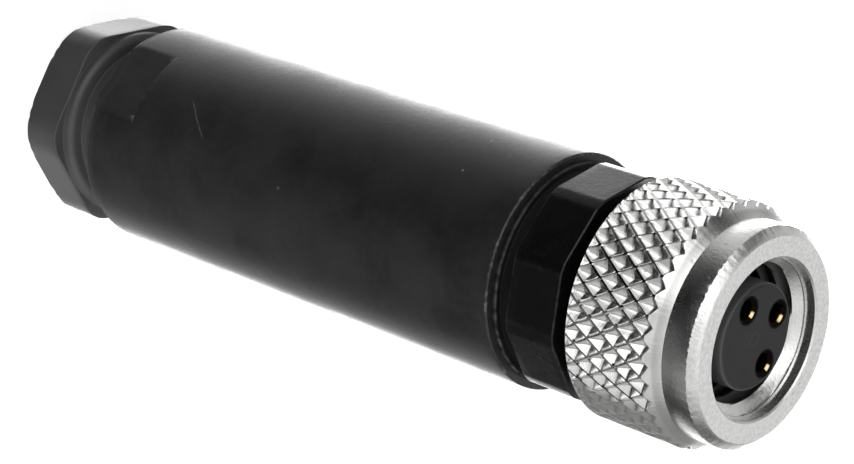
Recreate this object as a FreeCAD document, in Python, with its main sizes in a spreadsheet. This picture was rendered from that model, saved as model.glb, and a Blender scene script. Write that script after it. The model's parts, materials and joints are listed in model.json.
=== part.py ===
"""Inline socket connector: a cable-mount circular connector with three socket contacts.

The part stands on its gland nut: the origin is the middle of the gland nut's rear face and +Z runs
along the connector to its mating end. Lengths are millimetres and angles are degrees.
"""

import FreeCAD, Part
import math
import os
from types import SimpleNamespace

import Sketcher
from FreeCAD import Placement, Rotation, Vector

UP = Vector(0, 0, 1)
CLEAR = 2.0      # how far a cutting shape reaches past the solid that it cuts

# Driving dimensions. Radii are named radius. Walls, steps, gaps, overlaps, spacings and the depths
# of flats, grooves and pits are measured across the axis; the rest are lengths along it.
SIZES = {
    "gland_hex_height": 2.75,
    "gland_hex_apothem": 5.5,
    "gland_hex_radius": 6.03,
    "gland_hex_clocking": 47.3,
    "gland_hex_bevel_width": 0.4,
    "gland_hex_bevel_height": 0.25,
    "gland_collar_height": 0.65,
    "gland_collar_step": 0.8,
    "gland_collar_rounding": 0.22,
    "gland_floor": 2.1,
    "gland_inlet_radius": 2.75,
    "gland_inlet_flare": 0.5,
    "gland_cup_radius": 3.6,
    "gland_neck_radius": 4.6,
    "gland_neck_length": 7.0,
    "gland_neck_exposed": 2.0,
    "gland_travel_in": 1.5,
    "slip_thickness": 0.7,
    "slip_radius": 3.5,
    "slip_hole_radius": 2.85,
    "cage_flange_height": 1.5,
    "cage_finger_length": 8.0,
    "cage_wall": 0.6,
    "cage_slots": 6,
    "cage_slot_width": 0.7,
    "seal_length": 6.1,
    "seal_hole_radius": 2.1,
    "seal_bevel": 0.5,
    "wire_space": 2.1,
    "mouth_wall": 0.85,
    "sleeve_draft": 0.07,
    "sleeve_shoulder_rounding": 0.6,
    "sleeve_rim_bevel": 0.12,
    "sleeve_flat_depth": 0.42,
    "sleeve_flat_length": 3.75,
    "sleeve_flat_clocking": 61.8,
    "block_gap": 0.35,
    "sleeve_web": 1.3,
    "sleeve_web_hole_radius": 2.9,
    "sleeve_seat_radius": 3.9,
    "mouth_step": 0.35,
    "mouth_depth": 1.9,
    "running_gap": 0.05,
    "spigot_length": 6.75,
    "carrier_seal_section": 0.35,
    "carrier_seal_setback": 0.9,
    "flange_overlap": 0.45,
    "flange_thickness": 0.25,
    "groove_depth": 0.35,
    "groove_width": 0.78,
    "grip_length": 3.0,
    "grip_setback": 0.25,
    "grip_flat_depth": 0.2,
    "grip_flats": 10,
    "grip_clocking": 9.8,
    "grip_bevel": 0.12,
    "nut_end_play": 0.92,
    "journal_wall": 1.1,
    "journal_front": 0.45,
    "insert_step": 0.54,
    "nose_wall": 0.25,
    "nose_rounding": 0.2,
    "nose_recess": 0.51,
    "nose_web": 0.8,
    "nut_length": 7.2,
    "nut_web": 1.3,
    "nut_groove_width": 0.66,
    "nut_groove_clearance": 0.09,
    "nut_ring_offset": 0.08,
    "nut_ring_wire": 0.28,
    "nut_ring_gap_angle": 24,
    "nut_relief_length": 1.55,
    "nut_relief_step": 0.1,
    "plug_gap": 0.8,
    "nut_mouth_step": 0.56,
    "nut_mouth_depth": 0.6,
    "nut_mouth_bevel": 0.08,
    "nut_lead_length": 0.5,
    "nut_front_step": 0.25,
    "nut_front_length": 1.8,
    "nut_front_bevel": 0.4,
    "nut_rim_bevel": 0.18,
    "nut_rim_step": 0.17,
    "nut_wall": 1.0,
    "knurl_pits": 39,
    "knurl_depth": 0.41,
    "knurl_lead_angle": 30,
    "knurl_phase": 5.2,
    "front_seal_section": 0.3,
    "contact_circle_radius": 1.74,
    "contact_first_angle": 45,
    "contact_step_angle": 90,
    "contact_radius": 0.63,
    "contact_bore_radius": 0.5,
    "contact_bore_depth": 5.0,
    "contact_slot_width": 0.16,
    "contact_slot_depth": 3.4,
    "contact_recess": 0.08,
    "contact_lead": 0.11,
    "contact_hole_radius": 0.67,
    "clamp_spacing": 0.29,
    "clamp_depth": 2.6,
    "clamp_width": 2.3,
    "clamp_length": 5.4,
    "wire_hole_radius": 0.75,
    "screw_radius": 0.75,
    "screw_length": 1.6,
    "screw_slot_width": 0.3,
    "screw_slot_depth": 0.45,
    "screw_setback": 2.5,
    "guard_thickness": 0.2,
    "guard_width": 1.0,
    "guard_lip": 0.45,
    "block_wall": 0.56,
    "block_floor": 0.8,
}
CONTACTS = 3


class Size:
    """A number together with the spreadsheet expression that gives it."""

    def __init__(self, value, text):
        self.value = value
        self.text = text

    def __add__(self, other):
        other = as_size(other)
        return Size(self.value + other.value, f"({self.text} + {other.text})")

    def __sub__(self, other):
        other = as_size(other)
        return Size(self.value - other.value, f"({self.text} - {other.text})")

    def __mul__(self, other):
        other = as_size(other)
        return Size(self.value * other.value, f"({self.text} * {other.text})")

    def __truediv__(self, other):
        other = as_size(other)
        return Size(self.value / other.value, f"({self.text} / {other.text})")


def as_size(thing):
    return thing if isinstance(thing, Size) else Size(float(thing), repr(float(thing)))


def cosine(angle):
    return Size(math.cos(math.radians(angle.value)), f"cos({angle.text} * 1deg)")


def sine(angle):
    return Size(math.sin(math.radians(angle.value)), f"sin({angle.text} * 1deg)")


def bind(thing, prop, size):
    """Tie a property of an object to the sheet."""
    thing.setExpression(prop, as_size(size).text)


s = SimpleNamespace(**{name: Size(number, "sizes." + name) for name, number in SIZES.items()})

# Stations along the axis, from the rear face of the gland nut to the front face of the coupling nut.
GLAND_FRONT = s.gland_hex_height + s.gland_collar_height
NECK_END = GLAND_FRONT + s.gland_neck_length
SLEEVE_REAR = GLAND_FRONT + s.gland_neck_exposed
SLIP_FRONT = s.gland_floor + s.slip_thickness
CAGE_FRONT = SLIP_FRONT + s.cage_flange_height + s.cage_finger_length
SEAL_REAR = CAGE_FRONT + s.gland_travel_in
SEAL_FRONT = SEAL_REAR + s.seal_length
CAVITY_REAR = SEAL_FRONT + s.sleeve_web
BLOCK_REAR = CAVITY_REAR + s.wire_space
CLAMP_REAR = BLOCK_REAR + s.block_floor
SPIGOT_REAR = CLAMP_REAR + s.clamp_length
SCREW_HEIGHT = SPIGOT_REAR - s.screw_setback
SLEEVE_FRONT = SPIGOT_REAR + s.spigot_length
MOUTH_REAR = SLEEVE_FRONT - s.mouth_depth
FLANGE_FRONT = SLEEVE_FRONT + s.flange_thickness
GRIP_REAR = FLANGE_FRONT + s.groove_width
GRIP_FRONT = GRIP_REAR + s.grip_length
NUT_REAR = GRIP_FRONT + s.nut_end_play
NUT_WEB_FRONT = NUT_REAR + s.nut_web
NUT_GROOVE_FRONT = NUT_WEB_FRONT + s.nut_groove_width
JOURNAL_FRONT = NUT_GROOVE_FRONT + s.journal_front
NUT_RELIEF_FRONT = NUT_GROOVE_FRONT + s.nut_relief_length
NUT_FRONT = NUT_REAR + s.nut_length
NUT_CONE_FRONT = NUT_FRONT - s.nut_front_length
NOSE_FRONT = NUT_FRONT - s.nose_recess
INSERT_SHOULDER = JOURNAL_FRONT - s.nose_web
CONTACT_FRONT = NOSE_FRONT - s.contact_recess

# Radii that follow from what they hold, from the contacts outwards.
CLAMP_CENTRE = s.clamp_width / 2 + s.clamp_spacing + s.clamp_depth / 2
CLAMP_OUTSIDE = CLAMP_CENTRE + s.clamp_depth / 2
CLAMP_OFFSET = CLAMP_CENTRE - s.contact_circle_radius
BLOCK_RADIUS = CLAMP_OUTSIDE + s.block_wall
CAVITY_RADIUS = BLOCK_RADIUS + s.block_gap
SPIGOT_RADIUS = CAVITY_RADIUS - s.running_gap
MOUTH_RADIUS = CAVITY_RADIUS + s.mouth_step
SEAL_LAND_RADIUS = MOUTH_RADIUS - s.running_gap
SEAL_GROOVE_RADIUS = MOUTH_RADIUS - s.running_gap - s.carrier_seal_section * 2
SLEEVE_FRONT_RADIUS = MOUTH_RADIUS + s.mouth_wall
SLEEVE_REAR_RADIUS = SLEEVE_FRONT_RADIUS + s.sleeve_draft
SLEEVE_FLAT_APOTHEM = SLEEVE_REAR_RADIUS - s.sleeve_flat_depth
FLANGE_RADIUS = MOUTH_RADIUS + s.flange_overlap
GROOVE_RADIUS = FLANGE_RADIUS - s.groove_depth
GRIP_RADIUS = SLEEVE_FRONT_RADIUS - s.grip_setback
GRIP_APOTHEM = GRIP_RADIUS - s.grip_flat_depth
COLLAR_RADIUS = s.gland_neck_radius + s.gland_collar_step
GLAND_THREAD_RADIUS = s.gland_neck_radius + s.running_gap
NOSE_RADIUS = s.contact_circle_radius + s.contact_hole_radius + s.nose_wall
INSERT_RADIUS = NOSE_RADIUS + s.insert_step
JOURNAL_RADIUS = INSERT_RADIUS + s.journal_wall
NUT_THREAD_RADIUS = NOSE_RADIUS + s.plug_gap
NUT_MOUTH_RADIUS = NUT_THREAD_RADIUS + s.nut_mouth_step
NUT_BORE_RADIUS = JOURNAL_RADIUS + s.running_gap
NUT_RELIEF_RADIUS = NUT_BORE_RADIUS + s.nut_relief_step
NUT_RING_RADIUS = JOURNAL_RADIUS + s.nut_ring_offset
RING_GROOVE_RADIUS = NUT_RING_RADIUS - s.nut_ring_wire - s.running_gap
NUT_GROOVE_RADIUS = NUT_RING_RADIUS + s.nut_ring_wire + s.nut_groove_clearance
KNURL_PIT_RADIUS = NUT_GROOVE_RADIUS + s.nut_wall
KNURL_RIDGE_RADIUS = KNURL_PIT_RADIUS + s.knurl_depth
NUT_FRONT_RADIUS = KNURL_PIT_RADIUS - s.nut_front_step
NUT_RIM_RADIUS = KNURL_PIT_RADIUS + s.nut_rim_step


def plane_of(body, role):
    return next(item for item in body.Origin.OriginFeatures if item.Role == role)


def outline_sketch(body, name, corners, plane="XZ_Plane", offset=None):
    """A closed outline of straight sides, whose corners (across, up) are bound to the sheet."""
    sketch = body.newObject("Sketcher::SketchObject", name)
    sketch.AttachmentSupport = [(plane_of(body, plane), "")]
    sketch.MapMode = "FlatFace"
    corners = [(as_size(across), as_size(up)) for across, up in corners]
    ends = [Vector(across.value, up.value, 0) for across, up in corners]
    for start, end in zip(ends, ends[1:] + ends[:1]):
        sketch.addGeometry(Part.LineSegment(start, end), False)
    for side in range(len(corners)):
        sketch.addConstraint(Sketcher.Constraint("Coincident", side, 2, (side + 1) % len(corners), 1))
    for side, corner in enumerate(corners):
        for kind, size in zip(("DistanceX", "DistanceY"), corner):
            index = sketch.addConstraint(Sketcher.Constraint(kind, -1, 1, side, 1, size.value))
            bind(sketch, f"Constraints[{index}]", size)
    if offset is not None:
        bind(sketch, "AttachmentOffset.Base.z" if plane == "XY_Plane" else "AttachmentOffset.Base.y", offset)
    return sketch


def new_body(doc, label):
    body = doc.addObject("PartDesign::Body", label)
    body.Label = label
    return body


def turn(body, name, corners, axis="V_Axis", offset=None):
    """Material turned about the upright axis, or about the flat one of a raised sketch."""
    sketch = outline_sketch(body, name + "_outline", corners, offset=offset)
    feature = body.newObject("PartDesign::Revolution", name)
    feature.Profile = sketch
    feature.ReferenceAxis = (sketch, [axis])
    feature.Angle = 360
    body.Document.recompute()
    return feature


def groove(body, name, corners, axis="V_Axis", offset=None):
    """Material turned away about an axis of the sketch."""
    sketch = outline_sketch(body, name + "_outline", corners, offset=offset)
    feature = body.newObject("PartDesign::Groove", name)
    feature.Profile = sketch
    feature.ReferenceAxis = (sketch, [axis])
    feature.Angle = 360
    body.Document.recompute()
    return feature


def slab(body, name, corners, height, length):
    """A flat-sided block that rises from a height above the XY plane."""
    sketch = outline_sketch(body, name + "_outline", corners, "XY_Plane", height)
    feature = body.newObject("PartDesign::Pad", name)
    feature.Profile = sketch
    bind(feature, "Length", length)
    body.Document.recompute()
    return feature


def pocket(body, name, corners, height, length):
    """A flat-sided cut that rises from a height above the XY plane."""
    sketch = outline_sketch(body, name + "_outline", corners, "XY_Plane", height)
    feature = body.newObject("PartDesign::Pocket", name)
    feature.Profile = sketch
    feature.Reversed = True
    bind(feature, "Length", length)
    body.Document.recompute()
    return feature


def round_pattern(body, name, features, count, angle=as_size(360)):
    """Copies of features about the upright axis."""
    pattern = body.newObject("PartDesign::PolarPattern", name)
    pattern.Originals = features
    pattern.Axis = (plane_of(body, "Z_Axis"), [""])
    bind(pattern, "Angle", angle)
    bind(pattern, "Occurrences", count)
    body.Tip = pattern
    body.Document.recompute()
    return pattern


def ring_edges(shape, radius, height):
    """Names of the full circles of one radius about Z at one height."""
    names = []
    for number, edge in enumerate(shape.Edges, 1):
        curve = edge.Curve
        if not isinstance(curve, Part.Circle) or abs(curve.Radius - radius.value) > 1e-4:
            continue
        if abs(curve.Center.z - height.value) < 1e-4 and math.hypot(curve.Center.x, curve.Center.y) < 1e-4:
            names.append(f"Edge{number}")
    return names


def round_rings(body, name, amount, rings, kind="PartDesign::Fillet"):
    """Round or bevel circular edges, found by their radius and height."""
    base = body.Tip
    names = [edge for radius, height in rings for edge in ring_edges(base.Shape, radius, height)]
    feature = body.newObject(kind, name)
    feature.Base = (base, names)
    bind(feature, "Radius" if kind.endswith("Fillet") else "Size", amount)
    body.Document.recompute()
    return feature


def clock(thing, angle):
    """Turn a sub-part about the connector's axis."""
    angle = as_size(angle)
    thing.Placement = Placement(Vector(), Rotation(UP, angle.value))
    bind(thing, "Placement.Rotation.Angle", angle)


def contact_angle(index):
    return s.contact_first_angle + s.contact_step_angle * index


def cut_flats(body, name, apothem, corner_radius, height, length, count):
    """Plane faces on a turned collar: one chord is cut away and repeated round the axis."""
    reach = corner_radius + CLEAR
    corners = [(apothem, corner_radius * -1), (reach, corner_radius * -1), (reach, corner_radius),
               (apothem, corner_radius)]
    flat = pocket(body, name, corners, height, length)
    round_pattern(body, name + "s", [flat], count)


def make_gland_nut(doc):
    """Hexagonal nut with the cable inlet; its neck screws into the sleeve and holds the clamp."""
    body = new_body(doc, "gland_nut")
    inlet = s.gland_inlet_radius
    turn(body, "gland_blank", [
        (inlet + s.gland_inlet_flare, 0),
        (s.gland_hex_radius - s.gland_hex_bevel_width, 0),
        (s.gland_hex_radius, s.gland_hex_bevel_height),
        (s.gland_hex_radius, s.gland_hex_height),
        (COLLAR_RADIUS, s.gland_hex_height),
        (COLLAR_RADIUS, GLAND_FRONT),
        (s.gland_neck_radius, GLAND_FRONT),
        (s.gland_neck_radius, NECK_END),
        (s.gland_cup_radius, NECK_END),
        (s.gland_cup_radius, s.gland_floor),
        (inlet, s.gland_floor),
        (inlet, s.gland_inlet_flare),
    ])
    cut_flats(body, "gland_flat", s.gland_hex_apothem, s.gland_hex_radius, as_size(0), s.gland_hex_height,
              as_size(6))
    round_rings(body, "gland_collar_round", s.gland_collar_rounding, [(COLLAR_RADIUS, GLAND_FRONT)])
    clock(body, s.gland_hex_clocking - 30)
    return body


def make_slip_ring(doc):
    """Flat ring between the turning gland nut and the clamp cage, which doesn't turn."""
    body = new_body(doc, "slip_ring")
    turn(body, "slip_washer", [
        (s.slip_hole_radius, s.gland_floor),
        (s.slip_radius, s.gland_floor),
        (s.slip_radius, SLIP_FRONT),
        (s.slip_hole_radius, SLIP_FRONT),
    ])
    return body


def make_clamp_cage(doc):
    """Slotted collet: a flange that the slip ring pushes, and fingers that close on the cable."""
    body = new_body(doc, "clamp_cage")
    inside = s.slip_radius - s.cage_wall
    flange_front = SLIP_FRONT + s.cage_flange_height
    waist = s.slip_radius - s.cage_wall / 3
    turn(body, "cage_tube", [
        (inside, SLIP_FRONT),
        (s.slip_radius, SLIP_FRONT),
        (s.slip_radius, flange_front),
        (waist, flange_front),
        (waist, CAGE_FRONT - s.cage_flange_height),
        (s.slip_radius, CAGE_FRONT - s.cage_flange_height / 2),
        (waist, CAGE_FRONT),
        (inside, CAGE_FRONT),
    ])
    half = s.cage_slot_width / 2
    reach = s.slip_radius + CLEAR
    slot = pocket(body, "cage_slot", [(half, half * -1), (reach, half * -1), (reach, half), (half, half)],
                  flange_front, s.cage_finger_length + CLEAR)
    round_pattern(body, "cage_fingers", [slot], s.cage_slots)
    return body


def make_cable_seal(doc):
    """Elastic sleeve that sits in the bore of the sleeve, against its inner web."""
    body = new_body(doc, "cable_seal")
    turn(body, "seal_tube", [
        (s.seal_hole_radius + s.seal_bevel, SEAL_REAR),
        (s.sleeve_seat_radius - s.seal_bevel, SEAL_REAR),
        (s.sleeve_seat_radius, SEAL_REAR + s.seal_bevel),
        (s.sleeve_seat_radius, SEAL_FRONT),
        (s.seal_hole_radius + s.seal_bevel, SEAL_FRONT),
        (s.seal_hole_radius, SEAL_FRONT - s.seal_bevel),
        (s.seal_hole_radius, SEAL_REAR + s.seal_bevel),
    ])
    return body


def make_sleeve(doc):
    """Housing with a slight draft and two spanner flats: gland thread, seal seat and contact cavity."""
    body = new_body(doc, "sleeve")
    thread_end = NECK_END + s.gland_travel_in
    turn(body, "sleeve_wall", [
        (GLAND_THREAD_RADIUS, SLEEVE_REAR),
        (SLEEVE_REAR_RADIUS, SLEEVE_REAR),
        (SLEEVE_FRONT_RADIUS, SLEEVE_FRONT - s.sleeve_rim_bevel),
        (SLEEVE_FRONT_RADIUS - s.sleeve_rim_bevel, SLEEVE_FRONT),
        (MOUTH_RADIUS, SLEEVE_FRONT),
        (MOUTH_RADIUS, MOUTH_REAR),
        (CAVITY_RADIUS, MOUTH_REAR),
        (CAVITY_RADIUS, CAVITY_REAR),
        (s.sleeve_web_hole_radius, CAVITY_REAR),
        (s.sleeve_web_hole_radius, SEAL_FRONT),
        (s.sleeve_seat_radius, SEAL_FRONT),
        (s.sleeve_seat_radius, thread_end + s.seal_bevel),
        (GLAND_THREAD_RADIUS, thread_end),
    ])
    round_rings(body, "sleeve_shoulder", s.sleeve_shoulder_rounding, [(SLEEVE_REAR_RADIUS, SLEEVE_REAR)])
    cut_flats(body, "spanner_flat", SLEEVE_FLAT_APOTHEM, SLEEVE_REAR_RADIUS, SLEEVE_REAR,
              s.sleeve_flat_length, as_size(2))
    clock(body, s.sleeve_flat_clocking)
    return body


def make_contact_carrier(doc):
    """Ten-sided grip collar between the journal of the coupling nut and the spigot in the sleeve."""
    body = new_body(doc, "contact_carrier")
    seal_front = SLEEVE_FRONT - s.carrier_seal_setback + s.carrier_seal_section
    seal_rear = SLEEVE_FRONT - s.carrier_seal_setback - s.carrier_seal_section
    ring_rear = NUT_WEB_FRONT - s.nut_end_play
    turn(body, "carrier_blank", [
        (INSERT_RADIUS, SPIGOT_REAR),
        (SPIGOT_RADIUS, SPIGOT_REAR),
        (SPIGOT_RADIUS, MOUTH_REAR + s.running_gap),
        (SEAL_LAND_RADIUS, MOUTH_REAR + s.running_gap),
        (SEAL_LAND_RADIUS, seal_rear - s.running_gap),
        (SEAL_GROOVE_RADIUS, seal_rear - s.running_gap),
        (SEAL_GROOVE_RADIUS, seal_front + s.running_gap),
        (SEAL_LAND_RADIUS, seal_front + s.running_gap),
        (SEAL_LAND_RADIUS, SLEEVE_FRONT),
        (FLANGE_RADIUS, SLEEVE_FRONT),
        (FLANGE_RADIUS, FLANGE_FRONT),
        (GROOVE_RADIUS, FLANGE_FRONT),
        (GROOVE_RADIUS, GRIP_REAR),
        (GRIP_RADIUS, GRIP_REAR),
        (GRIP_RADIUS, GRIP_FRONT - s.grip_bevel),
        (GRIP_RADIUS - s.grip_bevel, GRIP_FRONT),
        (JOURNAL_RADIUS, GRIP_FRONT),
        (JOURNAL_RADIUS, ring_rear),
        (RING_GROOVE_RADIUS, ring_rear),
        (RING_GROOVE_RADIUS, NUT_GROOVE_FRONT),
        (JOURNAL_RADIUS, NUT_GROOVE_FRONT),
        (JOURNAL_RADIUS, JOURNAL_FRONT),
        (NOSE_RADIUS, JOURNAL_FRONT),
        (NOSE_RADIUS, INSERT_SHOULDER),
        (INSERT_RADIUS, INSERT_SHOULDER),
    ])
    cut_flats(body, "grip_flat", GRIP_APOTHEM, GRIP_RADIUS, GRIP_REAR, s.grip_length, s.grip_flats)
    clock(body, s.grip_clocking - 18)
    return body


def make_seal_ring(doc, label, radius, section, height):
    """Round-section ring seal."""
    ring = doc.addObject("Part::Torus", label)
    ring.Label = label
    bind(ring, "Radius1", radius)
    bind(ring, "Radius2", section)
    bind(ring, "Placement.Base.z", height)
    return ring


def make_nut_ring(doc):
    """Split ring of spring wire: it sits in the nut's groove and in the longer one of the carrier."""
    middle = NUT_WEB_FRONT + s.nut_groove_width / 2
    ring = make_seal_ring(doc, "nut_ring", NUT_RING_RADIUS, s.nut_ring_wire, middle)
    bind(ring, "Angle3", as_size(360) - s.nut_ring_gap_angle)
    return ring


def make_insert_blank(doc):
    """The nose and stem as turned, before the contact holes are made."""
    body = new_body(doc, "insert_blank")
    turn(body, "insert_wall", [
        (0, SPIGOT_REAR),
        (INSERT_RADIUS, SPIGOT_REAR),
        (INSERT_RADIUS, INSERT_SHOULDER),
        (NOSE_RADIUS, INSERT_SHOULDER),
        (NOSE_RADIUS, NOSE_FRONT),
        (0, NOSE_FRONT),
    ])
    round_rings(body, "nose_round", s.nose_rounding, [(NOSE_RADIUS, NOSE_FRONT)])
    return body


def make_socket_insert(doc):
    """Moulded nose and stem, pressed into the carrier, with a hole for each contact."""
    holes = doc.addObject("Part::MultiFuse", "contact_holes")
    holes.Shapes = [make_contact_hole(doc, index) for index in range(CONTACTS)]
    insert = doc.addObject("Part::Cut", "socket_insert")
    insert.Label = "socket_insert"
    insert.Base = make_insert_blank(doc)
    insert.Tool = holes
    return insert


def make_contact_hole(doc, index):
    hole = doc.addObject("Part::Cylinder", f"contact_hole_{index + 1}")
    bind(hole, "Radius", s.contact_hole_radius)
    bind(hole, "Height", NOSE_FRONT - SPIGOT_REAR + CLEAR * 2)
    place_at_contact(hole, index, SPIGOT_REAR - CLEAR)
    return hole


def place_at_contact(thing, index, height=as_size(0)):
    """Stand a sub-part on the axis of one contact, its own +X pointing away from the middle."""
    angle = contact_angle(index)
    thing.Placement = Placement(Vector(), Rotation(UP, angle.value))
    bind(thing, "Placement.Rotation.Angle", angle)
    bind(thing, "Placement.Base.x", s.contact_circle_radius * cosine(angle))
    bind(thing, "Placement.Base.y", s.contact_circle_radius * sine(angle))
    bind(thing, "Placement.Base.z", height)


def make_contact(doc, index):
    """Turned socket contact with a slotted mouth, and a clamp block offset outwards at its rear."""
    body = new_body(doc, f"contact_{index + 1}")
    tag = f"contact_{index + 1}_"
    back = CLAMP_OFFSET - s.clamp_depth / 2
    front = CLAMP_OFFSET + s.clamp_depth / 2
    half = s.clamp_width / 2
    slab(body, tag + "clamp", [(back, half * -1), (front, half * -1), (front, half), (back, half)],
         CLAMP_REAR, s.clamp_length)
    turn(body, tag + "pin", [
        (0, SPIGOT_REAR),
        (s.contact_radius, SPIGOT_REAR),
        (s.contact_radius, CONTACT_FRONT),
        (s.contact_bore_radius + s.contact_lead, CONTACT_FRONT),
        (s.contact_bore_radius, CONTACT_FRONT - s.contact_lead),
        (s.contact_bore_radius, CONTACT_FRONT - s.contact_bore_depth),
        (0, CONTACT_FRONT - s.contact_bore_depth - s.contact_bore_radius),
    ])
    slot_half = s.contact_slot_width / 2
    reach = s.contact_radius + CLEAR
    pocket(body, tag + "slot",
           [(reach * -1, slot_half * -1), (reach, slot_half * -1), (reach, slot_half), (reach * -1, slot_half)],
           CONTACT_FRONT - s.contact_slot_depth, s.contact_slot_depth + CLEAR)
    groove(body, tag + "screw_hole", [
        (CLAMP_OFFSET, 0),
        (front + CLEAR, 0),
        (front + CLEAR, s.screw_radius),
        (CLAMP_OFFSET, s.screw_radius),
    ], "H_Axis", SCREW_HEIGHT)
    bore_wire_hole(body, tag)
    place_at_contact(body, index)
    return body


def bore_wire_hole(body, tag):
    """Square wire hole from the rear of the clamp block to just past the screw."""
    half = s.wire_hole_radius
    near = CLAMP_OFFSET - half
    far = CLAMP_OFFSET + half
    pocket(body, tag + "wire_hole", [(near, half * -1), (far, half * -1), (far, half), (near, half)],
           CLAMP_REAR - CLEAR, SCREW_HEIGHT - CLAMP_REAR + s.screw_radius + CLEAR)


def make_terminal_screw(doc, index):
    """Grub screw that clamps the wire through the side of the clamp block."""
    body = new_body(doc, f"terminal_screw_{index + 1}")
    tag = f"screw_{index + 1}_"
    tip = CLAMP_OFFSET + s.guard_thickness
    head = tip + s.screw_length
    turn(body, tag + "shank", [(tip, 0), (head, 0), (head, s.screw_radius), (tip, s.screw_radius)],
         "H_Axis", SCREW_HEIGHT)
    half = s.screw_slot_width / 2
    deep = head - s.screw_slot_depth
    pocket(body, tag + "slot",
           [(deep, half * -1), (head + CLEAR, half * -1), (head + CLEAR, half), (deep, half)],
           SCREW_HEIGHT - s.screw_radius * 2, s.screw_radius * 4)
    place_at_contact(body, index)
    return body


def make_wire_guard(doc, index):
    """Thin leaf under the screw's tip, with a lip bent over the rear edge of the wire hole."""
    body = new_body(doc, f"wire_guard_{index + 1}")
    tag = f"guard_{index + 1}_"
    inner = CLAMP_OFFSET
    outer = inner + s.guard_thickness
    half = s.guard_width / 2
    top = SCREW_HEIGHT + s.screw_radius
    slab(body, tag + "leaf", [(inner, half * -1), (outer, half * -1), (outer, half), (inner, half)],
         CLAMP_REAR - s.guard_thickness, top - CLAMP_REAR + s.guard_thickness)
    lip = CLAMP_OFFSET + s.wire_hole_radius + s.guard_lip
    slab(body, tag + "lip", [(inner, half * -1), (lip, half * -1), (lip, half), (inner, half)],
         CLAMP_REAR - s.guard_thickness, s.guard_thickness)
    place_at_contact(body, index)
    return body


def make_terminal_block(doc):
    """Moulded block round the clamp blocks, with wire holes at the rear and screw holes outside."""
    body = new_body(doc, "terminal_block")
    turn(body, "block_blank", [
        (0, BLOCK_REAR),
        (BLOCK_RADIUS, BLOCK_REAR),
        (BLOCK_RADIUS, SPIGOT_REAR),
        (0, SPIGOT_REAR),
    ])
    half = s.clamp_width / 2
    inside = CLAMP_CENTRE - s.clamp_depth / 2
    chamber = pocket(body, "chamber",
                     [(inside, half * -1), (CLAMP_OUTSIDE, half * -1), (CLAMP_OUTSIDE, half), (inside, half)],
                     CLAMP_REAR - s.guard_thickness, s.clamp_length + s.guard_thickness + CLEAR)
    hole = s.wire_hole_radius
    wire = pocket(body, "wire_entry",
                  [(CLAMP_CENTRE - hole, hole * -1), (CLAMP_CENTRE + hole, hole * -1),
                   (CLAMP_CENTRE + hole, hole), (CLAMP_CENTRE - hole, hole)],
                  BLOCK_REAR - CLEAR, s.block_floor + CLEAR * 2)
    access = groove(body, "screw_access", [
        (CLAMP_CENTRE, 0),
        (BLOCK_RADIUS + CLEAR, 0),
        (BLOCK_RADIUS + CLEAR, s.screw_radius + s.running_gap * 2),
        (CLAMP_CENTRE, s.screw_radius + s.running_gap * 2),
    ], "H_Axis", SCREW_HEIGHT)
    round_pattern(body, "block_chambers", [chamber, wire, access], as_size(CONTACTS),
                  s.contact_step_angle * (CONTACTS - 1))
    clock(body, s.contact_first_angle)
    return body


def make_nut_blank(doc):
    """The coupling nut as turned, before it is knurled."""
    body = new_body(doc, "nut_blank")
    oversize = KNURL_RIDGE_RADIUS + s.nut_rim_bevel
    turn(body, "nut_wall", [
        (NUT_BORE_RADIUS, NUT_REAR),
        (NUT_RIM_RADIUS, NUT_REAR),
        (oversize, NUT_REAR + oversize - NUT_RIM_RADIUS),
        (oversize, NUT_CONE_FRONT - oversize + NUT_FRONT_RADIUS),
        (NUT_FRONT_RADIUS, NUT_CONE_FRONT),
        (NUT_FRONT_RADIUS, NUT_FRONT - s.nut_front_bevel),
        (NUT_FRONT_RADIUS - s.nut_front_bevel, NUT_FRONT),
        (NUT_MOUTH_RADIUS + s.nut_mouth_bevel, NUT_FRONT),
        (NUT_MOUTH_RADIUS, NUT_FRONT - s.nut_mouth_bevel),
        (NUT_MOUTH_RADIUS, NUT_FRONT - s.nut_mouth_depth),
        (NUT_THREAD_RADIUS, NUT_FRONT - s.nut_mouth_depth - s.nut_lead_length),
        (NUT_THREAD_RADIUS, NUT_RELIEF_FRONT),
        (NUT_RELIEF_RADIUS, NUT_RELIEF_FRONT),
        (NUT_RELIEF_RADIUS, NUT_GROOVE_FRONT),
        (NUT_GROOVE_RADIUS, NUT_GROOVE_FRONT),
        (NUT_GROOVE_RADIUS, NUT_WEB_FRONT),
        (NUT_BORE_RADIUS, NUT_WEB_FRONT),
    ])
    return body


def knurl_point(column, row, radius, start, pitch):
    """A corner of the knurl: columns and rows are half a diamond apart."""
    angle = math.radians(s.knurl_phase.value + column * 180 / s.knurl_pits.value)
    return Vector(radius * math.cos(angle), radius * math.sin(angle), start + row * pitch)


def knurl_corners(rows, start, pitch):
    """Rows of corners that are by turns a crossing of two ridges and the bottom of a pit."""
    columns = 2 * int(s.knurl_pits.value)
    radii = (KNURL_RIDGE_RADIUS.value, KNURL_PIT_RADIUS.value)
    return [[knurl_point(column, row, radii[(column + row) % 2], start, pitch) for column in range(columns)]
            for row in range(rows + 1)]


def triangle(first, second, third):
    return Part.Face(Part.makePolygon([first, second, third, first]))


def ring_cap(ring):
    return Part.Face(Part.makePolygon(ring + ring[:1]))


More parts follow.
